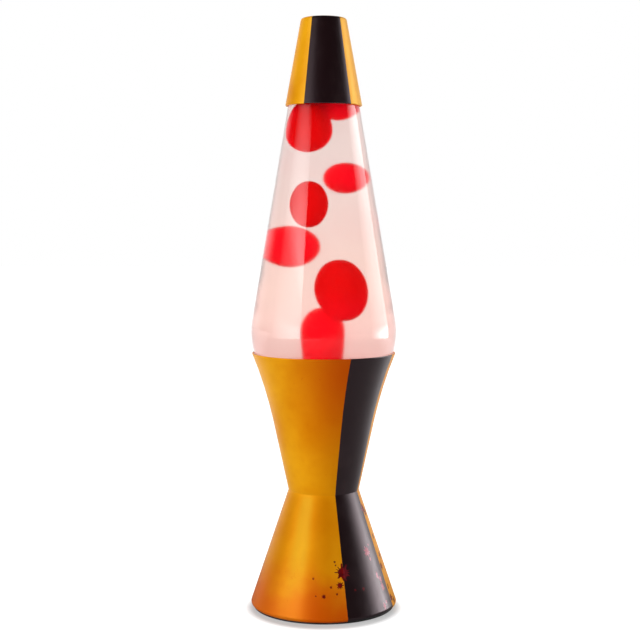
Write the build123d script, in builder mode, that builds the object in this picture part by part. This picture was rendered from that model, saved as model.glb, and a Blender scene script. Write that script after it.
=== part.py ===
"""Lava lamp: a tapered bottle of clear liquid and wax, in a waisted metal base over a small bulb.

Millimetres, +Z up. The origin is on the lamp's axis, on the surface it stands on, and -Y is the front.
Every piece is turned about the Z axis unless its block says otherwise.
"""
from build123d import *
from math import acos, atan2, cos, degrees, hypot, radians, sin, tan
import os

os.makedirs("parts", exist_ok=True)

# Base shell: a cone that narrows to the waist, and above it the cup that the bottle stands in
SHELL_WALL = 0.9
LIP_RADIUS = 42.8
FOOT_CORNER = (46.8, 1.3)
WAIST = (22.2, 74.6)
CUP_BEND = (31.65, 118.0)
CUP_RIM = (45.0, 161.2)
HEM_BEND = 2.2
WAIST_BEND = 0.8
RIM_ROUND = 0.4
CUT_REACH = 5.0

# Closing plate, feet and cord inlet
PLATE_BOTTOM = 0.5
PLATE_FLANGE = (44.3, 1.3)
PLATE_PLUG = (42.3, 3.0)
PLATE_RING = (30.0, 31.5, 5.0)
WELL_RADIUS = 11.0
WELL_WALL = 2.5
WELL_CEILING = 6.0
WELL_TOP = 8.0
PAD_RADIUS = 4.5
PAD_THICKNESS = 1.5
PAD_CIRCLE = 36.0
PAD_COUNT = 4
PAD_ROUND = 0.3
PAD_CLEARANCE = 0.15
VENT_COUNT = 8
VENT_CIRCLE = 21.5
VENT_SIZE = (12.0, 2.6)
INLET_HEIGHT = 17.0
INLET_BORE = 3.2
INLET_NECK = 4.5
INLET_CLEARANCE = 0.1
GROMMET_FLANGE = (6.5, 1.2)
GROMMET_BARB = (5.4, 1.3)
GROMMET_GAP = 0.4
GROMMET_ROUND = 0.5

# Threaded pipe that clamps the plate to a yoke hooked over the waist
PIPE_RADIUS = 4.85
PIPE_BORE = 3.0
PIPE_ENDS = (1.6, 49.5)
PIPE_PITCH = 1.0
PIPE_THREAD_DEPTH = 0.35
PIPE_CLEARANCE = 0.2
NUT_RADIUS = 8.08
NUT_THICKNESS = 3.0
NUT_CLEARANCE = 0.05
WASHER_RADIUS = 9.0
WASHER_THICKNESS = 0.8
YOKE_BOTTOM = 40.6
YOKE_THICKNESS = 1.2
YOKE_HUB = 11.0
YOKE_ARM = (17.2, 7.0)
YOKE_FOOT = (79.0, 83.5, 93.0)
YOKE_FOOT_GAP = 0.4
YOKE_BEND = 2.0

# Lampholder
SOCKET_ENDS = (46.0, 76.0)
SOCKET_FLOOR = 50.0
SOCKET_CAVITY = 9.6
SOCKET_BODY = 12.6
SOCKET_COLLAR = (13.5, 69.0)
SCREW_PITCH = 2.82
SOCKET_THREAD = (8.6, 9.1)
SOCKET_THREAD_FOOT = 54.6
SOCKET_CLEARANCE = 0.1
SOCKET_BRASS = 0.35
CONTACT_TOP = 56.2
CONTACT_FLOOR_ENDS = (-7.5, 6.5)
CONTACT_TIP_ENDS = (-3.0, 2.6)
CONTACT_LEAF = (5.0, 0.5)
CONTACT_BEND = 0.9
TERMINAL_HEIGHT = 52.6
TERMINAL_HEAD = (2.6, 1.4)
TERMINAL_SHANK = (1.4, 2.8)
TERMINAL_SLOT = (0.7, 0.6)
TERMINAL_HOLE_DEPTH = 4.0

# Bulb
TIP_RADIUS = 2.4
TIP_ENDS = (56.5, 58.1)
TIP_DOME = 0.7
TIP_GAP = 0.4
INSULATOR_FOOT = 57.4
INSULATOR_RADIUS = 5.9
INSULATOR_CONE = 2.2
BULB_THREAD = (7.9, 8.25)
BULB_THREAD_TOP = 74.6
BULB_THREAD_FOOT = 60.4
BULB_THREAD_START = (6.3, 59.5)
BULB_BRASS = 0.3
BULB_NECK = (7.35, 68.0, 75.0)
BULB_FLARE = 6.0
BULB_RADIUS = 17.45
BULB_CENTRE = 97.7
BULB_WALL = 0.8
STEM_FLARE = (6.2, 69.0, 70.0)
STEM_TUBE = (2.6, 74.0)
STEM_TOP_RADIUS = 2.2
LEAD_RADIUS = 0.3
LEAD_FOOT = (1.3, 84.0)
LEAD_TIP = (7.0, 97.0)
LEAD_GAP = 0.2
FILAMENT_RADIUS = 0.45
FILAMENT_RISE = 1.1
FILAMENT_BOW = 5.5

# Bottle
GLASS_WALL = 2.4
BOTTLE_BOTTOM = 128.0
PUNT_HEIGHT = 1.4
PUNT_RADIUS = 24.0
HEEL_RADIUS = 31.12
SHOULDER_CORNER = (46.83, 169.85)
CONE_TOP = (16.92, 345.0)
NECK_RADIUS = 12.4
NECK_FOOT = 349.6
LIP_ENDS = (351.0, 356.0)
CROWN_LIP = 13.2
HEEL_BEND = 5.0
SHOULDER_BEND = 46.0
NECK_BEND = 3.0
LIP_ROUND = 0.8
LIQUID_GAP = 0.05
LIQUID_LEVEL = 330.0
POOL_LEVEL = 140.5
COIL_RING = 20.0
COIL_RADIUS = 1.75
COIL_HEIGHT = 135.0

# Wax blobs: centre of the widest level, radius there, height above it, depth below it, lean to the right
WAX_BLOBS = {
    "wax_blob_top_front": ((-7.8, -4.2, 297.6), 12.2, 19.2, 13.2, 0),
    "wax_blob_top_rear": ((5.6, 8.2, 313.6), 8.6, 9.2, 9.8, 0),
    "wax_blob_upper_right": ((9.3, 8.0, 268.4), 9.8, 9.8, 9.8, 0),
    "wax_blob_centre": ((-7.9, -13.5, 252.8), 10.6, 14.5, 14.4, 0),
    "wax_blob_left": ((-15.0, 9.0, 225.6), 13.8, 13.1, 13.1, 0),
    "wax_blob_lower_front": ((9.2, -14.0, 200.1), 14.2, 19.2, 19.2, -8),
    "wax_blob_rising": ((-0.4, 6.0, 173.5), 10.1, 14.4, 29.0, 0),
}
WAX_GAP = 0.4

# Crown closure and the lamp's cap
CROWN_SKIRT = (13.45, 13.85)
CROWN_ENDS = (350.8, 356.9)
CROWN_TOP_THICKNESS = 0.4
FLUTE_COUNT = 21
FLUTE_RADIUS = 0.7
CROWN_ROUND = 0.25
LINER_RADIUS = 12.8
CAP_WALL = 0.8
CAP_FOOT = (23.75, 314.3)
CAP_TOP = (14.02, 368.0)
CAP_BEND = 1.8
CAP_BEAD = 0.6

# The lower cone's line, used by everything that meets it
cone_slope = (FOOT_CORNER[0] - WAIST[0]) / (WAIST[1] - FOOT_CORNER[1])
cone_tilt = atan2(cone_slope, 1)
cup_slope = (CUP_BEND[0] - WAIST[0]) / (CUP_BEND[1] - WAIST[1])
inlet_radius = FOOT_CORNER[0] - (INLET_HEIGHT - FOOT_CORNER[1]) * cone_slope
inlet_plane = Plane(
    origin=(0, inlet_radius, INLET_HEIGHT),
    x_dir=(1, 0, 0),
    z_dir=(0, cos(cone_tilt), sin(cone_tilt)),
)


def upright_plane(angle):
    """The plane through the lamp's axis whose X points outwards at this angle and whose Y points up."""
    turn = radians(angle)
    return Plane(origin=(0, 0, 0), x_dir=(cos(turn), sin(turn), 0), z_dir=(sin(turn), -cos(turn), 0))


def thread_line(low, high, pitch, root, crest):
    """Points up a thread's section, from root to crest and back once a pitch."""
    turns = int((high - low) / pitch)
    points = [(root, low)]
    for turn in range(turns):
        points.append((crest, low + (turn + 0.5) * pitch))
        points.append((root, low + (turn + 1) * pitch))
    return points


# ---- Base ----

with BuildPart() as base_shell:
    with BuildSketch(Plane.XZ):
        with BuildLine():
            side = FilletPolyline(
                (LIP_RADIUS, FOOT_CORNER[1]),
                FOOT_CORNER,
                WAIST,
                CUP_BEND,
                radius=[HEM_BEND, WAIST_BEND],
            )
            TangentArc(CUP_BEND, CUP_RIM, tangent=side % 1)
            offset(amount=SHELL_WALL, side=Side.LEFT)
        make_face()
    revolve(axis=Axis.Z)
    fillet(base_shell.edges().group_by(Axis.Z)[-2:], RIM_ROUND)
    with BuildSketch(inlet_plane):
        Circle(INLET_NECK + INLET_CLEARANCE)
    extrude(amount=CUT_REACH, both=True, mode=Mode.SUBTRACT)
base_shell.part.label = "base_shell"
export_step(base_shell.part, "parts/base_shell.step")

with BuildPart() as bottom_plate:
    with BuildSketch(Plane.XZ):
        with BuildLine():
            Polyline(
                (PIPE_RADIUS + PIPE_CLEARANCE, WELL_CEILING),
                (PIPE_RADIUS + PIPE_CLEARANCE, WELL_TOP),
                (WELL_RADIUS + WELL_WALL, WELL_TOP),
                (WELL_RADIUS + WELL_WALL, PLATE_PLUG[1]),
                (PLATE_RING[0], PLATE_PLUG[1]),
                (PLATE_RING[0], PLATE_RING[2]),
                (PLATE_RING[1], PLATE_RING[2]),
                (PLATE_RING[1], PLATE_PLUG[1]),
                PLATE_PLUG,
                (PLATE_PLUG[0], PLATE_FLANGE[1]),
                PLATE_FLANGE,
                (PLATE_FLANGE[0], PLATE_BOTTOM),
                (WELL_RADIUS, PLATE_BOTTOM),
                (WELL_RADIUS, WELL_CEILING),
                close=True,
            )
        make_face()
    revolve(axis=Axis.Z)
    with BuildSketch(Plane.XY.offset(PLATE_BOTTOM)):
        with PolarLocations(VENT_CIRCLE, VENT_COUNT):
            SlotOverall(*VENT_SIZE)
    extrude(amount=PLATE_PLUG[1], mode=Mode.SUBTRACT)
    with BuildSketch(Plane.XY.offset(PLATE_BOTTOM)):
        with PolarLocations(PAD_CIRCLE, PAD_COUNT, start_angle=45):
            Circle(PAD_RADIUS + PAD_CLEARANCE)
    extrude(amount=PAD_THICKNESS - PLATE_BOTTOM, mode=Mode.SUBTRACT)
bottom_plate.part.label = "bottom_plate"
export_step(bottom_plate.part, "parts/bottom_plate.step")

with BuildPart() as foot_pads:
    with BuildSketch():
        with PolarLocations(PAD_CIRCLE, PAD_COUNT, start_angle=45):
            Circle(PAD_RADIUS)
    extrude(amount=PAD_THICKNESS)
    fillet(foot_pads.edges().group_by(Axis.Z)[0], PAD_ROUND)
foot_pads.part.label = "foot_pads"
export_step(foot_pads.part, "parts/foot_pads.step")

# The grommet stands square to the lower cone at the back: a flange outside, a neck, a flange inside
inner_flange_plane = inlet_plane.offset(-SHELL_WALL - GROMMET_GAP)
with BuildPart() as cord_grommet:
    with BuildSketch(inlet_plane):
        Circle(GROMMET_FLANGE[0])
    extrude(amount=GROMMET_FLANGE[1])
    fillet(cord_grommet.edges().sort_by(Axis.Y)[-1], GROMMET_ROUND)
    with BuildSketch(inner_flange_plane):
        Circle(INLET_NECK)
    extrude(amount=SHELL_WALL + GROMMET_GAP)
    with BuildSketch(inner_flange_plane):
        Circle(GROMMET_BARB[0])
    extrude(amount=-GROMMET_BARB[1])
    with BuildSketch(inlet_plane):
        Circle(INLET_BORE)
    extrude(amount=CUT_REACH, both=True, mode=Mode.SUBTRACT)
cord_grommet.part.label = "cord_grommet"
export_step(cord_grommet.part, "parts/cord_grommet.step")

# Three arms rise through the waist and hook over it, so the pipe can pull the plate up against the foot
foot_low, foot_bend, foot_high = YOKE_FOOT
shell_inset = SHELL_WALL / cos(atan2(cup_slope, 1)) + YOKE_FOOT_GAP
with BuildPart() as mounting_yoke:
    with BuildSketch(Plane.XY.offset(YOKE_BOTTOM)):
        Circle(YOKE_HUB)
    extrude(amount=YOKE_THICKNESS)
    for arm_angle in (90, 210, 330):
        with BuildSketch(upright_plane(arm_angle)):
            with BuildLine():
                FilletPolyline(
                    (YOKE_HUB - 2, YOKE_BOTTOM),
                    (YOKE_ARM[0], YOKE_BOTTOM),
                    (YOKE_ARM[0], foot_low),
                    (WAIST[0] + (foot_bend - WAIST[1]) * cup_slope - shell_inset, foot_bend),
                    (WAIST[0] + (foot_high - WAIST[1]) * cup_slope - shell_inset, foot_high),
                    radius=YOKE_BEND,
                )
                offset(amount=YOKE_THICKNESS, side=Side.LEFT)
            make_face()
        extrude(amount=YOKE_ARM[1] / 2, both=True)
    with BuildSketch(Plane.XY.offset(YOKE_BOTTOM)):
        Circle(PIPE_RADIUS + PIPE_CLEARANCE)
    extrude(amount=YOKE_THICKNESS, mode=Mode.SUBTRACT)
mounting_yoke.part.label = "mounting_yoke"
export_step(mounting_yoke.part, "parts/mounting_yoke.step")

with BuildPart() as lamp_pipe:
    with BuildSketch(Plane.XZ):
        with BuildLine():
            thread = thread_line(*PIPE_ENDS, PIPE_PITCH, PIPE_RADIUS - PIPE_THREAD_DEPTH, PIPE_RADIUS)
            Polyline(*thread, (PIPE_BORE, thread[-1][1]), (PIPE_BORE, PIPE_ENDS[0]), close=True)
        make_face()
    revolve(axis=Axis.Z)
lamp_pipe.part.label = "lamp_pipe"
export_step(lamp_pipe.part, "parts/lamp_pipe.step")

# One washer and nut under the plate's well, one pair on top of the yoke's hub
lower_washer = WELL_CEILING - WASHER_THICKNESS
upper_washer = YOKE_BOTTOM + YOKE_THICKNESS
nut_feet = (lower_washer - NUT_THICKNESS, upper_washer + WASHER_THICKNESS)

with BuildPart() as pipe_washers:
    for foot in (lower_washer, upper_washer):
        with BuildSketch(Plane.XY.offset(foot)):
            Circle(WASHER_RADIUS)
            Circle(PIPE_RADIUS + PIPE_CLEARANCE, mode=Mode.SUBTRACT)
        extrude(amount=WASHER_THICKNESS)
pipe_washers.part.label = "pipe_washers"
export_step(pipe_washers.part, "parts/pipe_washers.step")

with BuildPart() as pipe_nuts:
    for foot in nut_feet:
        with BuildSketch(Plane.XY.offset(foot)):
            RegularPolygon(NUT_RADIUS, 6)
            Circle(PIPE_RADIUS + NUT_CLEARANCE, mode=Mode.SUBTRACT)
        extrude(amount=NUT_THICKNESS)
pipe_nuts.part.label = "pipe_nuts"
export_step(pipe_nuts.part, "parts/pipe_nuts.step")

# ---- Lampholder ----

terminal_planes = [
    Plane(origin=(side_x * SOCKET_BODY, 0, TERMINAL_HEIGHT), z_dir=(side_x, 0, 0)) for side_x in (1, -1)
]
with BuildPart() as socket_body:
    with BuildSketch(Plane.XZ):
        with BuildLine():
            Polyline(
                (PIPE_RADIUS + SOCKET_CLEARANCE, SOCKET_ENDS[0]),
                (SOCKET_BODY, SOCKET_ENDS[0]),
                (SOCKET_BODY, SOCKET_COLLAR[1] - (SOCKET_COLLAR[0] - SOCKET_BODY)),
                (SOCKET_COLLAR[0], SOCKET_COLLAR[1]),
                (SOCKET_COLLAR[0], SOCKET_ENDS[1]),
                (SOCKET_CAVITY, SOCKET_ENDS[1]),
                (SOCKET_CAVITY, SOCKET_FLOOR),
                (PIPE_RADIUS + SOCKET_CLEARANCE, SOCKET_FLOOR),
                close=True,
            )
        make_face()
    revolve(axis=Axis.Z)
    for plane in terminal_planes:
        with BuildSketch(plane):
            Circle(TERMINAL_SHANK[0] + SOCKET_CLEARANCE)
        extrude(amount=-TERMINAL_HOLE_DEPTH, mode=Mode.SUBTRACT)
socket_body.part.label = "socket_body"
export_step(socket_body.part, "parts/socket_body.step")

with BuildPart() as socket_screw_shell:
    with BuildSketch(Plane.XZ):
        with BuildLine():
            socket_top = SOCKET_ENDS[1] - 1
            Polyline(*thread_line(SOCKET_THREAD_FOOT, socket_top, SCREW_PITCH, *SOCKET_THREAD))
            offset(amount=SOCKET_BRASS, side=Side.RIGHT)
        make_face()
    revolve(axis=Axis.Z)
socket_screw_shell.part.label = "socket_screw_shell"
export_step(socket_screw_shell.part, "parts/socket_screw_shell.step")

# A leaf spring: flat on the socket's floor, then bent up and back under the bulb's tip
with BuildPart() as socket_centre_contact:
    with BuildSketch(Plane.XZ):
        with BuildLine():
            FilletPolyline(
                (CONTACT_FLOOR_ENDS[0], SOCKET_FLOOR),
                (CONTACT_FLOOR_ENDS[1], SOCKET_FLOOR),
                (CONTACT_TIP_ENDS[1], CONTACT_TOP),
                (CONTACT_TIP_ENDS[0], CONTACT_TOP),
                radius=CONTACT_BEND,
            )
            offset(amount=CONTACT_LEAF[1], side=Side.LEFT)
        make_face()
    extrude(amount=CONTACT_LEAF[0] / 2, both=True)
socket_centre_contact.part.label = "socket_centre_contact"
export_step(socket_centre_contact.part, "parts/socket_centre_contact.step")

with BuildPart() as socket_terminal_screws:
    for plane in terminal_planes:
        with BuildSketch(plane):
            Circle(TERMINAL_HEAD[0])
        extrude(amount=TERMINAL_HEAD[1])
        with BuildSketch(plane):
            Circle(TERMINAL_SHANK[0])
        extrude(amount=-TERMINAL_SHANK[1])
        with BuildSketch(plane.offset(TERMINAL_HEAD[1])):
            Rectangle(2 * TERMINAL_HEAD[0], TERMINAL_SLOT[0])
        extrude(amount=-TERMINAL_SLOT[1], mode=Mode.SUBTRACT)
socket_terminal_screws.part.label = "socket_terminal_screws"
export_step(socket_terminal_screws.part, "parts/socket_terminal_screws.step")

# ---- Bulb ----

with BuildPart() as bulb_tip_contact:
    with BuildSketch(Plane.XZ):
        with BuildLine():
            dome_edge = (TIP_RADIUS, TIP_ENDS[0] + TIP_DOME)
            Polyline(dome_edge, (TIP_RADIUS, TIP_ENDS[1]), (0, TIP_ENDS[1]), (0, TIP_ENDS[0]))
            TangentArc((0, TIP_ENDS[0]), dome_edge, tangent=(1, 0))
        make_face()
    revolve(axis=Axis.Z)
bulb_tip_contact.part.label = "bulb_tip_contact"
export_step(bulb_tip_contact.part, "parts/bulb_tip_contact.step")

with BuildPart() as bulb_insulator:
    with BuildSketch(Plane.XZ):
        with BuildLine():
            Polyline(
                (TIP_RADIUS + TIP_GAP, INSULATOR_FOOT),
                (INSULATOR_RADIUS - INSULATOR_CONE, INSULATOR_FOOT),
                (INSULATOR_RADIUS, INSULATOR_FOOT + INSULATOR_CONE),
                (INSULATOR_RADIUS, BULB_THREAD_FOOT),
                (0, BULB_THREAD_FOOT),
                (0, TIP_ENDS[1] + TIP_GAP),
                (TIP_RADIUS + TIP_GAP, TIP_ENDS[1] + TIP_GAP),
                close=True,
            )
        make_face()
    revolve(axis=Axis.Z)
bulb_insulator.part.label = "bulb_insulator"
export_step(bulb_insulator.part, "parts/bulb_insulator.step")

with BuildPart() as bulb_screw_base:
    with BuildSketch(Plane.XZ):
        with BuildLine():
            bulb_thread = thread_line(BULB_THREAD_FOOT, BULB_THREAD_TOP, SCREW_PITCH, *BULB_THREAD)
            Polyline(BULB_THREAD_START, *bulb_thread)
            offset(amount=BULB_BRASS, side=Side.LEFT)
        make_face()
    revolve(axis=Axis.Z)
bulb_screw_base.part.label = "bulb_screw_base"
export_step(bulb_screw_base.part, "parts/bulb_screw_base.step")

# The neck's flare is tangent to the round of the bulb
neck_radius, neck_foot, neck_top = BULB_NECK
neck_reach = hypot(neck_radius, BULB_CENTRE - neck_top)
flare_angle = atan2(neck_top - BULB_CENTRE, neck_radius) + acos(BULB_RADIUS / neck_reach)
flare_end = (BULB_RADIUS * cos(flare_angle), BULB_CENTRE + BULB_RADIUS * sin(flare_angle))
with BuildPart() as bulb_glass:
    with BuildSketch(Plane.XZ):
        with BuildLine():
            FilletPolyline((neck_radius, neck_foot), (neck_radius, neck_top), flare_end, radius=BULB_FLARE)
            CenterArc((0, BULB_CENTRE), BULB_RADIUS, degrees(flare_angle), 90 - degrees(flare_angle))
            offset(amount=BULB_WALL, side=Side.LEFT)
        make_face()
    revolve(axis=Axis.Z)
bulb_glass.part.label = "bulb_glass"
export_step(bulb_glass.part, "parts/bulb_glass.step")

with BuildPart() as bulb_stem:
    with BuildSketch(Plane.XZ):
        with BuildLine():
            Polyline(
                (0, STEM_FLARE[1]),
                (STEM_FLARE[0], STEM_FLARE[1]),
                (STEM_FLARE[0], STEM_FLARE[2]),
                STEM_TUBE,
                (STEM_TOP_RADIUS, LEAD_FOOT[1]),
                (0, LEAD_FOOT[1]),
                close=True,
            )
        make_face()
    revolve(axis=Axis.Z)
bulb_stem.part.label = "bulb_stem"
export_step(bulb_stem.part, "parts/bulb_stem.step")

lead_length = hypot(LEAD_TIP[0] - LEAD_FOOT[0], LEAD_TIP[1] - LEAD_FOOT[1])
with BuildPart() as bulb_lead_wires:
    for side_x in (1, -1):
        lead_axis = (side_x * (LEAD_TIP[0] - LEAD_FOOT[0]), 0, LEAD_TIP[1] - LEAD_FOOT[1])
        with BuildSketch(Plane(origin=(side_x * LEAD_FOOT[0], 0, LEAD_FOOT[1] + LEAD_GAP), z_dir=lead_axis)):
            Circle(LEAD_RADIUS)
        extrude(amount=lead_length)
bulb_lead_wires.part.label = "bulb_lead_wires"
export_step(bulb_lead_wires.part, "parts/bulb_lead_wires.step")

# The filament's coil is a thin arc hung between the two lead wires' tips
filament_height = LEAD_TIP[1] + FILAMENT_RISE
with BuildPart() as bulb_filament:
    with BuildLine():
        filament_line = ThreePointArc(
            (LEAD_TIP[0], 0, filament_height),
            (0, -FILAMENT_BOW, filament_height),
            (-LEAD_TIP[0], 0, filament_height),
        )
    with BuildSketch(Plane(origin=filament_line @ 0, z_dir=filament_line % 0)):
        Circle(FILAMENT_RADIUS)
    sweep()
bulb_filament.part.label = "bulb_filament"
export_step(bulb_filament.part, "parts/bulb_filament.step")

# ---- Bottle ----


def bottle_line():
    """The bottle's outer line, from the middle of its foot to the foot of its lip."""
    return FilletPolyline(
        (0, BOTTLE_BOTTOM + PUNT_HEIGHT),
        (PUNT_RADIUS, BOTTLE_BOTTOM),
        (HEEL_RADIUS, BOTTLE_BOTTOM),
        SHOULDER_CORNER,
        CONE_TOP,
        (NECK_RADIUS, NECK_FOOT),
        (NECK_RADIUS, LIP_ENDS[0]),
        radius=[NECK_BEND, HEEL_BEND, SHOULDER_BEND, NECK_BEND, NECK_BEND],
    )


def bottle_fill(low, high):
    """What fills the bottle from one height to another, a hair clear of its wall."""
    with BuildPart() as wall:
        with BuildSketch(Plane.XZ):
            with BuildLine():
                bottle_line()
                offset(amount=GLASS_WALL + LIQUID_GAP, side=Side.LEFT)
            make_face()
        revolve(axis=Axis.Z)
    with BuildPart() as fill:
        with BuildSketch(Plane.XZ):
            with BuildLine():
                line = bottle_line()
                Polyline(line @ 1, (0, LIP_ENDS[0]), line @ 0)
            make_face()
        revolve(axis=Axis.Z)
        add(wall.part, mode=Mode.SUBTRACT)
        split(bisect_by=Plane.XY.offset(low), keep=Keep.TOP)
        split(bisect_by=Plane.XY.offset(high), keep=Keep.BOTTOM)
    return fill.part


def egg_joint(radius, reach):
    """Where the two arcs of a quarter egg meet: one leaves the axis level, one is upright at this radius."""
    out = radius * tan(radians(22.5))
    rise = (radius**2 + reach**2 - 2 * radius * out) / (2 * (out + reach))
    share = out / (out + rise)
    return out + (radius - out) * share, reach - (reach - rise) * share


def egg(size, gap=0.0):
    """A blob of wax, round in plan and taller one way than the other, grown all over by gap."""
    centre, radius, height, depth, lean = size
    turn = radians(lean)
    widest, top, foot = (radius + gap, 0), (0, height + gap), (0, -depth - gap)
    upper_x, upper_y = egg_joint(radius + gap, height + gap)
    lower_x, lower_y = egg_joint(radius + gap, depth + gap)
    with BuildPart() as blob:
        with BuildSketch(Plane(origin=centre, x_dir=(cos(turn), 0, -sin(turn)), z_dir=(0, -1, 0))):
            with BuildLine():
                belly = TangentArc(foot, (lower_x, -lower_y), tangent=(1, 0))
                TangentArc(belly @ 1, widest, tangent=belly % 1)
                flank = TangentArc(widest, (upper_x, upper_y), tangent=(0, 1))
                TangentArc(flank @ 1, top, tangent=flank % 1)
                Line(top, foot)
            make_face()
        revolve(axis=Axis(centre, (sin(turn), 0, cos(turn))))
    return blob.part


with BuildPart() as globe_glass:
    with BuildSketch(Plane.XZ):
        with BuildLine():
            bottle_line()
            offset(amount=GLASS_WALL, side=Side.LEFT)
        make_face()
        with BuildLine():
            Polyline(
                (NECK_RADIUS - GLASS_WALL, LIP_ENDS[0]),
                (CROWN_LIP, LIP_ENDS[0]),
                (CROWN_LIP, LIP_ENDS[1]),
                (NECK_RADIUS - GLASS_WALL, LIP_ENDS[1]),
                close=True,
            )
        make_face()
    revolve(axis=Axis.Z)
    fillet(globe_glass.edges().group_by(Axis.Z)[-1], LIP_ROUND)
globe_glass.part.label = "globe_glass"
export_step(globe_glass.part, "parts/globe_glass.step")

# The heating coil is a close spring bent into a ring: here the ring of its outside
with BuildPart() as heater_coil:
    with BuildSketch(Plane.XZ):
        with Locations((COIL_RING, COIL_HEIGHT)):
            Circle(COIL_RADIUS)
    revolve(axis=Axis.Z)
heater_coil.part.label = "heater_coil"
export_step(heater_coil.part, "parts/heater_coil.step")

# The wax that has not risen lies on the bottle's floor, around the coil
with BuildPart() as wax_pool:
    add(bottle_fill(BOTTLE_BOTTOM, POOL_LEVEL))
    with BuildSketch(Plane.XZ):
        with Locations((COIL_RING, COIL_HEIGHT)):
            Circle(COIL_RADIUS + LIQUID_GAP)
    revolve(axis=Axis.Z, mode=Mode.SUBTRACT)
wax_pool.part.label = "wax_pool"
export_step(wax_pool.part, "parts/wax_pool.step")

with BuildPart() as globe_liquid:
    add(bottle_fill(POOL_LEVEL + LIQUID_GAP, LIQUID_LEVEL))
    for size in WAX_BLOBS.values():
        add(egg(size, WAX_GAP), mode=Mode.SUBTRACT)
globe_liquid.part.label = "globe_liquid"
export_step(globe_liquid.part, "parts/globe_liquid.step")

for name, size in WAX_BLOBS.items():
    with BuildPart() as wax_blob:
        add(egg(size))
    wax_blob.part.label = name
    export_step(wax_blob.part, f"parts/{name}.step")

# ---- Closure and cap ----

with BuildPart() as crown_cap:
    with BuildSketch(Plane.XY.offset(CROWN_ENDS[0])):
        Circle(CROWN_SKIRT[1])
        with PolarLocations(CROWN_SKIRT[1], FLUTE_COUNT):
            Circle(FLUTE_RADIUS)
    extrude(amount=CROWN_ENDS[1] - CROWN_ENDS[0])
    fillet(crown_cap.faces().sort_by(Axis.Z)[-1].edges(), CROWN_ROUND)
    with BuildSketch(Plane.XY.offset(CROWN_ENDS[0])):
        Circle(CROWN_SKIRT[0])
    extrude(amount=CROWN_ENDS[1] - CROWN_ENDS[0] - CROWN_TOP_THICKNESS, mode=Mode.SUBTRACT)
crown_cap.part.label = "crown_cap"
export_step(crown_cap.part, "parts/crown_cap.step")

with BuildPart() as crown_liner:
    with BuildSketch(Plane.XY.offset(LIP_ENDS[1])):
        Circle(LINER_RADIUS)
    extrude(amount=CROWN_ENDS[1] - CROWN_TOP_THICKNESS - LIP_ENDS[1])
crown_liner.part.label = "crown_liner"
export_step(crown_liner.part, "parts/crown_liner.step")

# A spun cone with a closed top and a beaded rim
with BuildPart() as lamp_cap:
    with BuildSketch(Plane.XZ):
        with BuildLine():
            FilletPolyline((CAP_FOOT[0], CAP_FOOT[1] + CAP_BEAD), CAP_TOP, (0, CAP_TOP[1]), radius=CAP_BEND)
            offset(amount=CAP_WALL, side=Side.LEFT)
        make_face()
        with Locations((CAP_FOOT[0] - CAP_BEAD, CAP_FOOT[1] + CAP_BEAD)):
            Circle(CAP_BEAD)
    revolve(axis=Axis.Z)
lamp_cap.part.label = "lamp_cap"
export_step(lamp_cap.part, "parts/lamp_cap.step")
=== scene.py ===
"""Looks for the lava lamp: printed shells, a bottle of liquid and wax, and a soft studio.

The sizes of pieces are in millimetres, and their outlines are (radius, height) on the lamp's axis. Sizes in
materials, in the wax's mesh, in the camera and in the studio are in metres. Angles round the lamp are
measured from its front, -Y, and grow towards +X: in degrees where a stripe, a splash or a light is placed,
and in radians inside a material.
"""

import random
from math import ceil, cos, pi, radians, sin, tan

import bmesh
import bpy
from mathutils import Matrix, Vector, noise


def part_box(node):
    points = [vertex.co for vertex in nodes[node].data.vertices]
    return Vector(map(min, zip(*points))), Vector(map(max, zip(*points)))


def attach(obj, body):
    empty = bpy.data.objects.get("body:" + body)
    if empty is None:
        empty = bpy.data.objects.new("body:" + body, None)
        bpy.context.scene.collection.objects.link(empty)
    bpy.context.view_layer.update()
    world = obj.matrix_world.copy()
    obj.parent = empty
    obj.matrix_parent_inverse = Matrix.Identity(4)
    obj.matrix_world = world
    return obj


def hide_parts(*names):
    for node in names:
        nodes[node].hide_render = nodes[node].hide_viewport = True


MM = 0.001
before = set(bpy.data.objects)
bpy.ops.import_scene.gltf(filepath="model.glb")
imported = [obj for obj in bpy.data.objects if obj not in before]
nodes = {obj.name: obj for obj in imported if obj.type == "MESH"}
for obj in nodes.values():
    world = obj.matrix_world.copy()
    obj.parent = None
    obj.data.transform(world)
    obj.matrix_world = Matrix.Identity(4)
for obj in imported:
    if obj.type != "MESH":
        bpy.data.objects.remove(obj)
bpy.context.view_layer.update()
scene = bpy.context.scene

# Base shell, as the CAD source turns it, with a hair off the foot so that the mesh stays in the CAD's box
SHELL_WALL = 0.9
SHELL_LIP = Vector((42.8, 1.3))
FOOT_RADIUS = 46.8
FOOT_SLACK = 0.03
FOOT_CORNER = Vector((FOOT_RADIUS - FOOT_SLACK, SHELL_LIP.y))
WAIST = Vector((22.2, 74.6))
CUP_BEND = Vector((31.65, 118.0))
CUP_RIM = Vector((45.0, 161.2))
HEM_BEND = 2.2
WAIST_BEND = 0.8
FLARE_SLOPE = (FOOT_RADIUS - WAIST.x) / (WAIST.y - FOOT_CORNER.y)
INLET_HOLE = 4.6
INLET_DEPTH = 12
INLET_SIDES = 48

# Cap
CAP_WALL = 0.8
CAP_FOOT = Vector((23.75, 314.9))
CAP_TOP = Vector((14.02, 368.0))
CAP_BEND = 1.8
CAP_BEAD = 0.6
BEAD_START = radians(130)
BEAD_TURN = radians(230)

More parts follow.
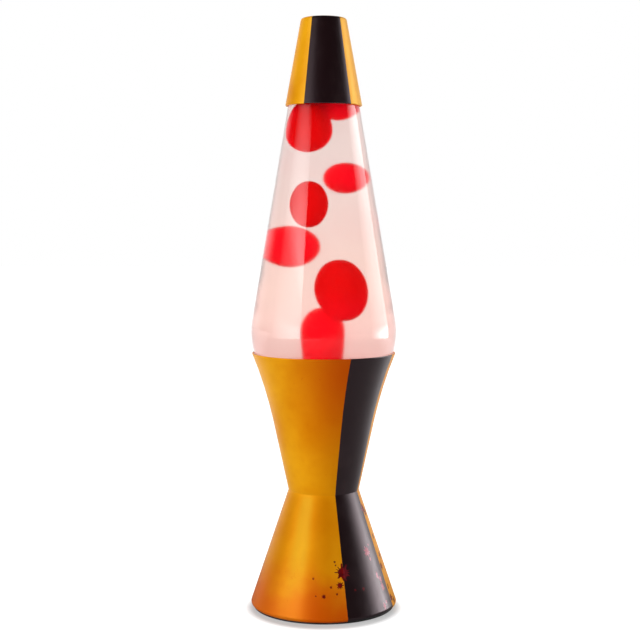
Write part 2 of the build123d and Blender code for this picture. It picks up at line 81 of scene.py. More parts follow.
# Bottle. Its outer line runs from the middle of the foot, which is pushed up, to the mouth
GLASS_WALL = 2.4
GLASS_LINE = [(0, 129.4), (24, 128), (31.12, 128), (46.83, 169.85), (16.92, 345), (12.4, 349.6), (12.4, 351)]
GLASS_BENDS = [3, 5, 46, 3, 3]
LIP_RADIUS = 13.2
LIP_TOP = 356.0
LIP_ROUND = 0.8
LIQUID_GAP = 0.05
LIQUID_FOOT = 140.55
LIQUID_LEVEL = 330.0
MENISCUS = 1.2
MENISCUS_STEPS = 8

# Heating coil: a close spring bent into a ring
COIL_RING = 20.0
COIL_RADIUS = 1.75
COIL_HEIGHT = 135.0
COIL_WIRE = 0.25
COIL_TURNS = 130
COIL_STEPS = 12

AROUND = 256
ARC_STEP = radians(2.5)
LONG_STEP = 4.0
SAME_POINT = 1e-4
ON_AXIS = 1e-6
SHARP_ANGLE = radians(40)


# ---- Outlines ----

def arc(start, centre, turn):
    """Points from start, round centre, through this angle."""
    steps = max(3, ceil(abs(turn) / ARC_STEP))
    spoke = start - centre
    return [centre + Matrix.Rotation(turn * k / steps, 2) @ spoke for k in range(steps + 1)]


def rounded(points, bends):
    """The line through these points, with an arc of each radius at its inner corners."""
    points = [Vector(p) for p in points]
    line = [points[0]]
    for before, corner, after, bend in zip(points, points[1:], points[2:], bends):
        back, on = (before - corner).normalized(), (after - corner).normalized()
        half = back.angle(on) / 2
        start = corner + back * (bend / tan(half))
        centre = corner + (back + on).normalized() * (bend / sin(half))
        side = 1 if (-back).cross(on) > 0 else -1
        line += arc(start, centre, side * (pi - 2 * half))
    return line + [points[-1]]


def tangent_arc(start, heading, end):
    """An arc from start to end that leaves start along this heading."""
    across = Vector((-heading.y, heading.x)).normalized()
    chord = end - start
    radius = chord.length_squared / (2 * across.dot(chord))
    centre = start + across * radius
    return arc(start, centre, (start - centre).angle_signed(end - centre) * -1)


def divided(line):
    """The same line with its long runs cut into short ones."""
    out = [line[0]]
    for a, b in zip(line, line[1:]):
        steps = max(1, ceil((b - a).length / LONG_STEP))
        out += [a.lerp(b, (k + 1) / steps) for k in range(steps)]
    return out


def clean(line):
    """The line without points that fall on each other."""
    out = [line[0]]
    for p in line[1:]:
        if (p - out[-1]).length > SAME_POINT:
            out.append(p)
    return out


def beside(line, gap):
    """The line moved to its left by gap. At a corner the step is longer, so that both sides move by gap."""
    out = []
    for k, p in enumerate(line):
        ahead = line[min(k + 1, len(line) - 1)] - p
        behind = p - line[max(k - 1, 0)]
        ways = [w.normalized() for w in (ahead, behind) if w.length > 0]
        way = sum(ways, Vector((0, 0))).normalized()
        share = max(0.5, way.dot(ways[0]))
        out.append(p + Vector((-way.y, way.x)) * (gap / share))
    return out


def cut(line, low, high):
    """The part of a rising line between two heights, with an end at each."""
    out = []
    for a, b in zip(line, line[1:]):
        for level in (low, high):
            if (a.y - level) * (b.y - level) < 0:
                out.append(a.lerp(b, (level - a.y) / (b.y - a.y)))
        if low < b.y < high:
            out.append(b)
    return sorted(out, key=lambda p: p.y)


# ---- Meshes ----

def new_object(name, mesh):
    piece = bpy.data.objects.new(name, mesh)
    scene.collection.objects.link(piece)
    return piece


def finish_mesh(mesh):
    for polygon in mesh.polygons:
        polygon.use_smooth = True
    mesh.set_sharp_from_angle(angle=SHARP_ANGLE)


def lathe(name, line, skins=None, closed=False):
    """Turns an outline round the axis. skins gives each run's material number."""
    made = bmesh.new()
    rings = []
    for p in line:
        if p.x < ON_AXIS:
            rings.append([made.verts.new((0, 0, p.y * MM))] * AROUND)
        else:
            turns = [2 * pi * k / AROUND for k in range(AROUND)]
            rings.append([made.verts.new((p.x * MM * cos(t), p.x * MM * sin(t), p.y * MM)) for t in turns])
    pairs = list(zip(rings, rings[1:]))
    if closed:
        pairs.append((rings[-1], rings[0]))
    for run, (a, b) in enumerate(pairs):
        for k in range(AROUND):
            n = (k + 1) % AROUND
            corners = list(dict.fromkeys((a[k], a[n], b[n], b[k])))
            face = made.faces.new(corners)
            face.material_index = skins[run] if skins else 0
    bmesh.ops.recalc_face_normals(made, faces=made.faces)
    mesh = bpy.data.meshes.new(name)
    made.to_mesh(mesh)
    made.free()
    finish_mesh(mesh)
    piece = new_object(name, mesh)
    normals = piece.modifiers.new("even_normals", "WEIGHTED_NORMAL")
    normals.keep_sharp = True
    return piece


def give(piece, *materials):
    """Fills the mesh's material slots in order. Clearing them first would forget which face has which."""
    slots = piece.data.materials
    for k, material in enumerate(materials):
        if k < len(slots):
            slots[k] = material
        else:
            slots.append(material)


def place(piece, body, slot, *replaced):
    """Rides on its body and stands for its CAD nodes. slot is not used."""
    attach(piece, body)
    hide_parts(*replaced)


def apply_modifiers(piece):
    """The mesh as its modifiers leave it, with none left on the piece."""
    graph = bpy.context.evaluated_depsgraph_get()
    mesh = bpy.data.meshes.new_from_object(piece.evaluated_get(graph))
    piece.modifiers.clear()
    piece.data = mesh


# ---- Material graphs ----

class Graph:
    """The nodes of a material, a lamp or a world. A value is a number, a colour or another node's output."""

    def __init__(self, owner):
        owner.use_nodes = True
        self.tree = owner.node_tree

    def node(self, kind, values=(), **settings):
        made = self.tree.nodes.new(kind)
        for key, value in settings.items():
            setattr(made, key, value)
        for key, value in dict(values).items():
            self.put(made.inputs[key], value)
        return made

    def put(self, socket, value):
        if isinstance(value, bpy.types.NodeSocket):
            self.tree.links.new(value, socket)
        elif hasattr(socket.default_value, "__len__") and not hasattr(value, "__len__"):
            socket.default_value = [value] * len(socket.default_value)
        else:
            socket.default_value = value

    def math(self, operation, *values):
        return self.node("ShaderNodeMath", enumerate(values), operation=operation).outputs[0]

    def product(self, value, *others):
        for other in others:
            value = self.math("MULTIPLY", value, other)
        return value

    def ramp(self, value, low, high, to_low=0.0, to_high=1.0, smooth=True):
        values = {"Value": value, "From Min": low, "From Max": high, "To Min": to_low, "To Max": to_high}
        kind = "SMOOTHSTEP" if smooth else "LINEAR"
        return self.node("ShaderNodeMapRange", values, interpolation_type=kind).outputs["Result"]

    def through(self, value, stops):
        """The strength that value has between these (place, strength) stops."""
        made = self.node("ShaderNodeValToRGB", {0: value})
        elements = made.color_ramp.elements
        for n, (at, level) in enumerate(stops):
            element = elements[n] if n < 2 else elements.new(at)
            element.position, element.color = at, (level, level, level, 1)
        return made.outputs[0]

    def mix(self, share, a, b):
        """Two colours mixed. Inputs 6 and 7 of the mix node are its colours, and output 2 is their mix."""
        made = self.node("ShaderNodeMix", data_type="RGBA")
        self.put(made.inputs["Factor"], share)
        for key, value in ((6, a), (7, b)):
            colour = value if isinstance(value, bpy.types.NodeSocket) else (*value, 1)
            self.put(made.inputs[key], colour)
        return made.outputs[2]

    def seen(self):
        """1 where the camera looks at something, straight or through glass."""
        path = self.node("ShaderNodeLightPath").outputs
        return self.math("MAXIMUM", path["Is Camera Ray"], path["Is Transmission Ray"])


class Finish(Graph):
    """A material's nodes. Its textures lie in the piece's own coordinates."""

    def __init__(self, name):
        self.material = bpy.data.materials.new(name)
        super().__init__(self.material)
        self.shader = self.tree.nodes["Principled BSDF"]
        self.output = self.tree.nodes["Material Output"]
        self.place = self.tree.nodes.new("ShaderNodeTexCoord").outputs["Object"]

    def axes(self):
        return self.node("ShaderNodeSeparateXYZ", {0: self.place}).outputs

    def noise(self, scale, detail=3.0, roughness=0.5, stretch=None, offset=0.0):
        at = self.place
        if stretch or offset:
            values = {"Vector": at, "Scale": stretch or (1, 1, 1), "Location": (offset, offset, offset)}
            at = self.node("ShaderNodeMapping", values).outputs[0]
        values = {"Vector": at, "Scale": scale, "Detail": detail, "Roughness": roughness}
        return self.node("ShaderNodeTexNoise", values).outputs["Fac"]

    def bump(self, height, strength, distance):
        values = {"Height": height, "Strength": strength, "Distance": distance}
        self.put(self.shader.inputs["Normal"], self.node("ShaderNodeBump", values).outputs[0])

    def set(self, **values):
        for key, value in values.items():
            self.put(self.shader.inputs[key.replace("_", " ")], value)


def rgb(code):
    """A colour's linear values from its usual six-figure code."""
    parts = [int(code[k:k + 2], 16) / 255 for k in (0, 2, 4)]
    return tuple(c / 12.92 if c <= 0.04045 else ((c + 0.055) / 1.055) ** 2.4 for c in parts)


# ---- Printed paint, painted shade and painted sheen ----

GOLD = rgb("f8b016")
# Darker gold for the random clouds and mottle, and for the painted shade towards the right
GOLD_SHADE = rgb("dd8600")
# Painted shade on the base's flare
GOLD_PAINTED_SHADE = rgb("c87000")
# Painted highlight: the colour the flare takes where the key light's highlight falls
GOLD_PAINTED_HIGHLIGHT = rgb("c89a1c")
# Painted sheen on the cap
CAP_PAINTED_SHEEN = rgb("ffcc60")
GOLD_ORANGE = rgb("da6412")
# Burnt gold for specks, wear and the foot, and for the painted shade on the cup
GOLD_BURNT = rgb("cc5402")
STRIPE_BLACK = rgb("180a0c")
STRIPE_WORN = rgb("241718")
SPLASH_DARK = rgb("78060f")
SPLASH_DEEP = rgb("5a0410")
SPLASH_PINK = rgb("b8586c")
SPLASH_ROSE = rgb("a02038")
GOLD_SHEEN = (1.0, 0.70, 0.16)
STRIPE_SHEEN = (1.0, 0.78, 0.85)
GOLD_GLOSS = 0.16
STRIPE_GLOSS = 0.68
GOLD_METALLIC = 0.18

# Colour that belongs to one side, most of it painted shade or painted sheen, fades out between these two
# angles, so that no seam shows at the back
SIDE_END = 1.8
BACK_START = 3.0

# The flare's painted shade and painted highlight stop between these two heights, across the waist
BELOW_WAIST = 0.070
ABOVE_WAIST = 0.078

# Stripes: the centre and half the width, in degrees. Between two heights on the cup, the base's stripe
# narrows by the pinch on each side and moves as far to the right. The cap's flat top is left plain
BASE_STRIPE = (44.25, 25.75)
CAP_STRIPE = (6.75, 37.25)
STRIPE_PINCH = 1.25
PINCH_START = 0.080
PINCH_END = 0.160
EDGE_BLUR = 0.004
PLAIN_TOP = 0.15

# Splashes of the print that stand out: angle, height and size. A drip also has how tall it is for its width
SPLASHES = [(18.1, 30, 4.8), (14.4, 22.8, 2.3), (0, 16.8, 1.4), (-9.7, 26.8, 0.8), (6.3, 22, 0.9),
            (10.8, 36.3, 0.8), (11.6, 34.4, 0.6), (11.2, 18, 0.8), (-6.8, 17, 0.6), (36.8, 19.2, 1.1),
            (28, 19.4, 0.8)]
DRIPS = [(52, 39.4, 2.6, 1.3), (54, 34.8, 0.8, 1.6), (57, 43, 0.6, 1.5), (58, 24.5, 1.3, 1.8),
         (62, 21.5, 1.7, 1.4), (62, 17, 1.9, 1.5), (61, 8.1, 0.9, 1.3), (57, 6.1, 1.6, 1.5),
         (71, 64, 2.4, 1.3), (77, 61, 1.9, 1.6), (77, 46, 1.4, 1.6), (79, 34, 1.8, 1.4),
         (72.5, 28, 2.0, 1.3), (73, 15.2, 1.0, 2.2), (72, 8.6, 2.2, 1.3), (77, 6, 1.9, 1.2)]
SPLASH_SEED = 11

# Each splash takes its rays from a random place in the same noise, up to this far along it
RAY_REACH = 9

# More drips behind the right edge, scattered round this angle
HIDDEN_DRIPS = 10
HIDDEN_ANGLE = 100
HIDDEN_SPREAD = 9


def stripe_mask(g, angle, z, centre, half, pinch):
    """1 on either of two stripes that face each other across the lamp, with slightly uneven edges."""
    inset = g.ramp(z, PINCH_START, PINCH_END, 0.0, radians(pinch), smooth=False)
    angle = g.math("SUBTRACT", angle, inset)
    half = g.math("SUBTRACT", radians(half), inset)
    wobble = g.ramp(g.noise(900), 0, 1, -EDGE_BLUR, EDGE_BLUR, smooth=False)
    off = g.math("WRAP", g.math("ADD", angle, radians(90) - radians(centre)), pi, 0.0)
    edge = g.math("SUBTRACT", half, g.math("ABSOLUTE", g.math("SUBTRACT", off, pi / 2)))
    below_top = g.math("LESS_THAN", z, (CAP_TOP.y - PLAIN_TOP) * MM)
    return g.product(g.ramp(g.math("ADD", edge, wobble), -EDGE_BLUR, EDGE_BLUR), below_top)


def splash(g, angle, height, at_angle, at_height, size, rays_at, tall=1.0):
    """One splash with uneven rays, on the shell's unrolled surface. tall stretches it up and down."""
    reach = (FOOT_CORNER.x - (at_height - FOOT_CORNER.y) * FLARE_SLOPE) * MM
    across = g.product(g.math("SUBTRACT", angle, radians(at_angle)), reach)
    up = g.product(g.math("SUBTRACT", height, at_height * MM), 1 / tall)
    away = g.math("SQRT", g.math("ADD", g.math("POWER", across, 2.0), g.math("POWER", up, 2.0)))
    turn = g.math("ADD", g.math("ARCTAN2", up, across), rays_at)
    rays = g.node("ShaderNodeTexNoise", {"W": turn, "Scale": 2.7, "Detail": 1.5}, noise_dimensions="1D")
    limit = g.ramp(rays.outputs["Fac"], 0.42, 0.68, size * 0.6 * MM, size * 1.1 * MM)
    return g.math("LESS_THAN", away, limit)


def splatter(g, colour, stripe, angle, z):
    """Dark splashes over the base, and drips at its right that are pink where they cross the stripe."""
    chance = random.Random(SPLASH_SEED)
    marks = 0.0
    for where in SPLASHES:
        marks = g.math("MAXIMUM", marks, splash(g, angle, z, *where, chance.random() * RAY_REACH))
    drips = 0.0
    for _ in range(HIDDEN_DRIPS):
        where = chance.gauss(HIDDEN_ANGLE, HIDDEN_SPREAD), 5 + 62 * chance.random() ** 1.3
        size = 0.5 + 1.0 * chance.random() ** 2
        rays_at = chance.random() * RAY_REACH
        drip = splash(g, angle, z, *where, size, rays_at, tall=1.0 + 1.8 * chance.random())
        drips = g.math("MAXIMUM", drips, drip)
    for *where, size, tall in DRIPS:
        drip = splash(g, angle, z, *where, size, chance.random() * RAY_REACH, tall=tall)
        drips = g.math("MAXIMUM", drips, drip)
    dark = g.mix(g.ramp(g.noise(500, offset=1.3), 0.4, 0.6), SPLASH_DARK, SPLASH_DEEP)
    pink = g.mix(g.ramp(g.noise(300, offset=4.1), 0.4, 0.6), SPLASH_PINK, SPLASH_ROSE)
    colour = g.mix(marks, colour, dark)
    return g.mix(drips, colour, g.mix(stripe, dark, pink))


def base_tones_and_painted_light(g, gold, angle, z, clouds):
    """Painted light on the base's flare: a painted highlight band between two deeper bands of painted shade.
    Orange to burnt at the foot, and painted shade at the cup's rim, burnt and darker to the right.

    Each ramp runs between two angles or two heights."""
    # Painted shade: deeper gold on the flare, right of the key light's highlight and at its left edge
    flare = g.product(g.ramp(z, ABOVE_WAIST, BELOW_WAIST), 0.4)
    middle = g.product(g.ramp(angle, -0.42, -0.1), g.ramp(angle, 0.35, 0.0))
    gold = g.mix(g.product(flare, middle), gold, GOLD_PAINTED_SHADE)
    before_back = g.ramp(angle, -BACK_START, -SIDE_END)
    edge = g.product(g.ramp(angle, -0.55, -1.0), before_back)
    gold = g.mix(g.product(flare, edge), gold, GOLD_PAINTED_SHADE)
    # Painted highlight: yellower gold where the key light's highlight falls on the flare
    band = g.product(g.ramp(angle, -0.75, -0.5, 0.0, 1.5), g.ramp(angle, -0.2, -0.4))
    gold = g.mix(g.product(flare, band), gold, GOLD_PAINTED_HIGHLIGHT)
    foot = g.ramp(g.math("ADD", z, g.ramp(clouds, 0, 1, -0.016, 0.016)), 0.036, 0.004)
    foot = g.product(g.ramp(angle, 1.1, 0.7), before_back, foot)
    gold = g.mix(g.product(foot, g.ramp(angle, -0.9, -0.45, 0.9, 0.75)), gold, GOLD_ORANGE)
    gold = g.mix(g.product(foot, g.ramp(angle, -0.42, -0.1, 0.0, 0.95)), gold, GOLD_BURNT)
    # Painted shade: burnt gold on the cup, darker towards the right and up towards the rim
    rim = g.product(g.ramp(z, BELOW_WAIST, 0.155), g.ramp(angle, -0.95, 0.32), g.ramp(angle, 1.1, 0.7))
    return g.mix(rim, gold, GOLD_BURNT)


def cap_painted_highlights(g, gold, angle):
    """Painted sheen: paler gold where highlights fall, at the left and at the right of the cap's front
    stripe.
    """
    right = g.product(g.ramp(angle, 0.6, 0.9, 0.0, 0.5), g.ramp(angle, 2.6, SIDE_END))
    left = g.product(g.ramp(angle, -0.78, -0.5, 0.0, 0.18), g.ramp(angle, 0.0, -0.3))
    return g.mix(g.math("ADD", left, right), gold, CAP_PAINTED_SHEEN)


def shell_paint(name, stripe_place, splashed):
    """Mottled gold print with a black stripe, under a thin satin lacquer, with painted shade that darkens the
    gold towards the right. Only the base's is splashed.
    """
    g = Finish(name)
    x, y, z = g.axes()[:3]
    angle = g.math("ARCTAN2", x, g.product(y, -1.0))
    clouds = g.noise(22, 4, 0.55)
    mottle = g.noise(160, 5, 0.62, offset=3.1)
    grain = g.noise(1400, 2, 0.6)
    gold = g.mix(g.ramp(clouds, 0.22, 0.74), GOLD_SHADE, GOLD)
    gold = g.mix(g.product(g.ramp(mottle, 0.50, 0.78), 0.22), gold, GOLD_SHADE)
    # Painted shade: the gold darkens towards the right side, away from the key light
    shade = g.product(g.ramp(angle, -0.6, 0.1, 0.0, 0.45), g.ramp(angle, BACK_START, SIDE_END))
    gold = g.mix(shade, gold, GOLD_SHADE)
    gold = base_tones_and_painted_light(g, gold, angle, z, clouds) if splashed else cap_painted_highlights(g, gold, angle)
    gold = g.mix(g.ramp(grain, 0.62, 0.8, 0, 0.25), gold, GOLD_BURNT)
    scratches = g.ramp(g.noise(430, 5, 0.75, stretch=(1, 1, 0.55), offset=9.1), 0.60, 0.66)
    worn = g.product(scratches, g.ramp(g.noise(48, offset=5.3), 0.48, 0.62))
    gold = g.mix(g.product(worn, 0.4), gold, GOLD_BURNT)
    black = g.mix(g.ramp(g.noise(60, 4, offset=7.7), 0.5, 0.8), STRIPE_BLACK, STRIPE_WORN)
    stripe = stripe_mask(g, angle, z, *stripe_place, STRIPE_PINCH if splashed else 0.0)
    colour = g.mix(stripe, gold, black)
    if splashed:
        colour = splatter(g, colour, stripe, angle, z)
    scuffs = g.noise(420, 6, 0.7, stretch=(1, 1, 0.12))
    bare = g.math("SUBTRACT", 1.0, stripe)
    rough = g.math("ADD", g.ramp(scuffs, 0.3, 0.7, 0.34, 0.42), g.product(stripe, -0.06))
    g.set(Base_Color=colour, Roughness=rough, Metallic=g.product(bare, GOLD_METALLIC),
          Specular_IOR_Level=g.ramp(stripe, 0, 1, GOLD_GLOSS, STRIPE_GLOSS, smooth=False),
          Specular_Tint=g.mix(stripe, GOLD_SHEEN, STRIPE_SHEEN), Coat_Weight=0.03, Coat_Roughness=0.2)
    g.bump(g.math("ADD", g.product(mottle, 0.6), g.product(grain, 0.4)), 0.12, 0.00015)
    return g.material


# ---- Other materials ----

def metal(name, light, dark, roughness, brush=None, scale=350):
    """Bare or plated metal with faint tool marks and darker, duller patches."""
    g = Finish(name)
    marks = g.noise(scale, 5, 0.65, stretch=brush)
    patches = g.noise(70, 4, offset=2.2)
    g.set(Base_Color=g.mix(g.ramp(patches, 0.4, 0.72), light, dark), Metallic=1.0,
          Roughness=g.ramp(g.math("ADD", marks, patches), 0.6, 1.4, roughness - 0.08, roughness + 0.12))
    g.bump(marks, 0.2, 0.00008)
    return g.material


def moulded(name, light, dark, roughness, grain=1800, relief=0.25):
    """Moulded plastic or rubber with a fine grain and slight dusty patches."""
    g = Finish(name)
    fine = g.noise(grain, 3, 0.6)
    dust = g.noise(55, 4, 0.6, offset=5.0)
    g.set(Base_Color=g.mix(g.ramp(dust, 0.45, 0.8), dark, light),
          Roughness=g.ramp(fine, 0.3, 0.7, roughness - 0.06, roughness + 0.06))
    g.bump(fine, relief, 0.0001)
    return g.material


def lets_lamps_through(g):
    """Light from the lamps goes straight through, so what is inside is lit without caustics."""
    lamp_ray = g.node("ShaderNodeLightPath").outputs["Is Shadow Ray"]
    clear = g.node("ShaderNodeBsdfTransparent").outputs[0]
    both = g.node("ShaderNodeMixShader", {0: lamp_ray, 1: g.shader.outputs[0], 2: clear})
    g.put(g.output.inputs["Surface"], both.outputs[0])


CLEAR = (1.0, 1.0, 1.0)
NO_SHEEN = (0.0, 0.0, 0.0)
BOTTLE_TINT = (0.985, 0.99, 0.985)
BULB_TINT = (0.97, 0.985, 0.985)
BOTTLE_IOR = 1.5
BULB_IOR = 1.45
LIQUID_IOR = 1.34
WET_ROUGHNESS = 0.31


def glass(name, tint, ior, roughness=0.0, sheen=CLEAR):
    """Clear pressed glass with faint cords of tint. sheen scales what it reflects when seen square on."""
    g = Finish(name)
    cords = g.noise(40, 3, stretch=(1, 1, 0.15))
    g.set(Base_Color=g.mix(g.ramp(cords, 0.35, 0.7), tint, CLEAR), Transmission_Weight=1.0,
          IOR=ior, Roughness=roughness, Specular_Tint=(*sheen, 1))
    lets_lamps_through(g)
    return g.material


# The liquid's colours, and the heights between which each turns into the next
LIQUID_LOW = (0.945, 0.54, 0.495)
LIQUID_MIDDLE = (0.875, 0.61, 0.54)
LIQUID_HIGH = (0.825, 0.65, 0.615)
LOW_TO_MIDDLE = (0.15, 0.195)
MIDDLE_TO_HIGH = (0.20, 0.30)


def liquid_material():
    """Clear liquid, pinker near the wax it lies on and paler at the top, with a faint uneven haze.

    It doesn't bend light by itself: the bottle's wetted wall bends it as glass against water does."""
    g = Finish("bottle_liquid")
    swirl = g.ramp(g.noise(28, 3, stretch=(1, 1, 0.5)), 0.3, 0.7, -0.012, 0.012)
    level = g.math("ADD", g.axes()[2], swirl)
    tint = g.mix(g.ramp(level, *LOW_TO_MIDDLE), LIQUID_LOW, LIQUID_MIDDLE)
    tint = g.mix(g.ramp(level, *MIDDLE_TO_HIGH), tint, LIQUID_HIGH)
    g.set(Base_Color=tint, Transmission_Weight=1.0, IOR=1.0, Roughness=0.0)
    lets_lamps_through(g)
    return g.material


WAX_DEEP = (0.70, 0.0, 0.0005)
# Painted light: the wax's red where it is brighter low down and at the back
WAX_PAINTED_LIT = (0.90, 0.0, 0.012)
WAX_CLOUD = (0.62, 0.0, 0.002)


def wax_material():
    """Soft red wax with a slightly uneven skin. Painted light makes it brighter low down, where the bulb
    lights it from below, and in the blobs that lie further back; a faint red glow lifts its shade.
    """
    g = Finish("wax")
    y, z = g.axes()[1:3]
    # Painted light: brighter low down and in the blobs towards the back
    bright = g.math("MAXIMUM", g.ramp(y, -0.013, -0.003), g.ramp(z, 0.205, 0.180, 0.0, 0.7))
    cloud = g.ramp(g.noise(75, 3), 0.35, 0.7, 0.0, 0.22)
    red = g.mix(cloud, g.mix(bright, WAX_DEEP, WAX_PAINTED_LIT), WAX_CLOUD)
    # Painted light: a faint red glow, though the wax is no lamp, lifts its shade
    g.set(Base_Color=red, Roughness=0.6, Specular_IOR_Level=0.0, Emission_Color=red, Emission_Strength=0.1)
    g.bump(g.noise(180, 2), 0.08, 0.0003)
    return g.material


# ---- Pieces ----

shell_inside = metal("shell_inside", (0.91, 0.91, 0.90), (0.76, 0.76, 0.75), 0.5, brush=(0.15, 0.15, 1))
base_paint = shell_paint("base_paint", BASE_STRIPE, splashed=True)
cap_paint = shell_paint("cap_paint", CAP_STRIPE, splashed=False)
wax = wax_material()


def round_end(line, wall):
    """Closes a wall's end with half a round: line is the wall's outer side and the wall lies to its left."""
    end, way = line[-1], (line[-1] - line[-2]).normalized()
    left = Vector((-way.y, way.x))
    start = end - way * (wall / 2)
    return line[:-1] + arc(start, start + left * (wall / 2), pi)


def drill_inlet(piece):
    """Cuts the cord's hole square to the flare, round the grommet."""
    mesh = bpy.data.meshes.new("inlet_hole")
    made = bmesh.new()
    tilt = (FOOT_CORNER - WAIST).angle(Vector((0, -1)))
    bmesh.ops.create_cone(made, cap_ends=True, segments=INLET_SIDES, radius1=INLET_HOLE * MM,
                          radius2=INLET_HOLE * MM, depth=INLET_DEPTH * MM,
                          matrix=Matrix.Rotation(radians(-90) + tilt, 4, "X"))
    made.to_mesh(mesh)
    made.free()
    cutter = new_object("inlet_cutter", mesh)
    low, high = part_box("cord_grommet")
    cutter.location = (low + high) / 2
    inlet = piece.modifiers.new("inlet", "BOOLEAN")
    inlet.operation, inlet.object, inlet.solver = "DIFFERENCE", cutter, "EXACT"
    bpy.context.view_layer.update()
    # The hole goes before the weighted normals
    piece.modifiers.move(1, 0)
    apply_modifiers(piece)
    bpy.data.objects.remove(cutter)


def make_base_shell():
    """One wall from the hem in to the waist and out to the cup's rim, and down again along its inner side."""
    line = rounded([SHELL_LIP, FOOT_CORNER, WAIST, CUP_BEND], [HEM_BEND, WAIST_BEND])
    line = clean(line + tangent_arc(CUP_BEND, CUP_BEND - WAIST, CUP_RIM))
    outer = divided(line)
    inner = beside(outer, SHELL_WALL)
    outer = round_end(outer, SHELL_WALL)
    outline = clean(outer + [p for p in reversed(inner) if p.y < CUP_RIM.y - SHELL_WALL])
    skins = [0 if k < len(outer) - 1 else 1 for k in range(len(outline))]
    piece = lathe("turned_base_shell", outline, skins, closed=True)
    drill_inlet(piece)
    give(piece, base_paint, shell_inside)
    place(piece, "base", "shell_paint", "base_shell")


def make_cap():
    """A thin cone with a flat top, whose foot is rolled into a bead."""
    crown = Vector((0, CAP_TOP.y))
    outer = divided(rounded([CAP_FOOT, CAP_TOP, crown], [CAP_BEND]))
    inner = beside(outer, CAP_WALL)
    inner[-1].x = 0
    spoke = Vector((CAP_BEAD, 0))
    bead_centre = CAP_FOOT - spoke
    bead = arc(bead_centre + Matrix.Rotation(BEAD_START, 2) @ spoke, bead_centre, BEAD_TURN)
    inner = [p for p in inner if p.y > CAP_FOOT.y + CAP_BEAD]
    outline = clean(list(reversed(inner)) + bead + outer[1:])
    skins = [1 if k < len(inner) else 0 for k in range(len(outline))]
    piece = lathe("turned_cap", outline, skins)
    give(piece, cap_paint, shell_inside)
    place(piece, "cap", "shell_paint", "lamp_cap")


glass_outer = divided(rounded(GLASS_LINE, GLASS_BENDS))
glass_inner = beside(glass_outer, GLASS_WALL)
glass_inner[0].x = 0


def make_bottle():
    """The bottle, with its outside, its wetted wall and its dry neck in glass of their own."""
    mouth = GLASS_LINE[-1][0] - GLASS_WALL
    foot = Vector((LIP_RADIUS, GLASS_LINE[-1][1]))
    lip = rounded([foot, (LIP_RADIUS, LIP_TOP), (mouth, LIP_TOP), (mouth, foot.y)], [LIP_ROUND, LIP_ROUND])
    outer = clean(glass_outer + lip)
    outline = clean(outer + list(reversed(glass_inner)))
    skins = []
    for a, b in zip(outline, outline[1:]):
        inside = len(skins) >= len(outer) - 1
        wet = inside and (a.y + b.y) / 2 < LIQUID_LEVEL
        skins.append(1 if wet else 2 if inside else 0)
    piece = lathe("blown_bottle", outline, skins)
    outside = glass("bottle_glass_outside", BOTTLE_TINT, BOTTLE_IOR)
    wetted = glass("bottle_glass_wetted", BOTTLE_TINT, BOTTLE_IOR / LIQUID_IOR, WET_ROUGHNESS, NO_SHEEN)
    dry = glass("bottle_glass_dry", BOTTLE_TINT, BOTTLE_IOR)
    give(piece, outside, wetted, dry)
    place(piece, "globe", "bottle_glass", "globe_glass")


def make_liquid():
    """The liquid to just inside the wall, with a surface that climbs it a little."""
    wall = cut(beside(glass_inner, LIQUID_GAP), LIQUID_FOOT, LIQUID_LEVEL)
    top = wall[-1]
    surface = [top]
    for k in range(1, MENISCUS_STEPS + 1):
        share = k / MENISCUS_STEPS
        surface.append(Vector((top.x - MENISCUS * 2 * share, top.y - MENISCUS * (1 - (1 - share) ** 2))))
    surface.append(Vector((0, surface[-1].y)))
    outline = clean([Vector((0, wall[0].y))] + wall + surface)
    piece = lathe("liquid", outline)
    give(piece, liquid_material())
    place(piece, "globe", "bottle_liquid", "globe_liquid")


# The wax's even mesh, and how deep and how close its dents are
WAX_WELD = 1e-5
WAX_VOXEL = 0.0009
WAX_CALM = 6
WAX_DENT = 0.0004
WAX_DENT_SCALE = 60


def make_wax_blob(node, seed):
    """The blob's own CAD shape, remeshed evenly and made a little uneven, always inwards."""
    piece = new_object(node.replace("wax_blob", "soft_wax"), nodes[node].data.copy())
    weld = piece.modifiers.new("weld", "WELD")
    weld.merge_threshold = WAX_WELD
    even = piece.modifiers.new("even", "REMESH")
    even.mode, even.voxel_size = "VOXEL", WAX_VOXEL
    calm = piece.modifiers.new("calm", "SMOOTH")
    calm.iterations = WAX_CALM
    bpy.context.view_layer.update()
    apply_modifiers(piece)
    low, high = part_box(node)
    middle = (low + high) / 2
    # Each blob takes its dents from another place in the noise
    elsewhere = Vector((seed * 7.3, seed * 3.1, 0))
    for vertex in piece.data.vertices:
        spot = (vertex.co - middle) * WAX_DENT_SCALE + elsewhere
        depth = WAX_DENT * (0.5 + 0.5 * noise.noise(spot))
        vertex.co -= (vertex.co - middle).normalized() * depth
    finish_mesh(piece.data)
    give(piece, wax)
    place(piece, node + "_body", "wax", node)


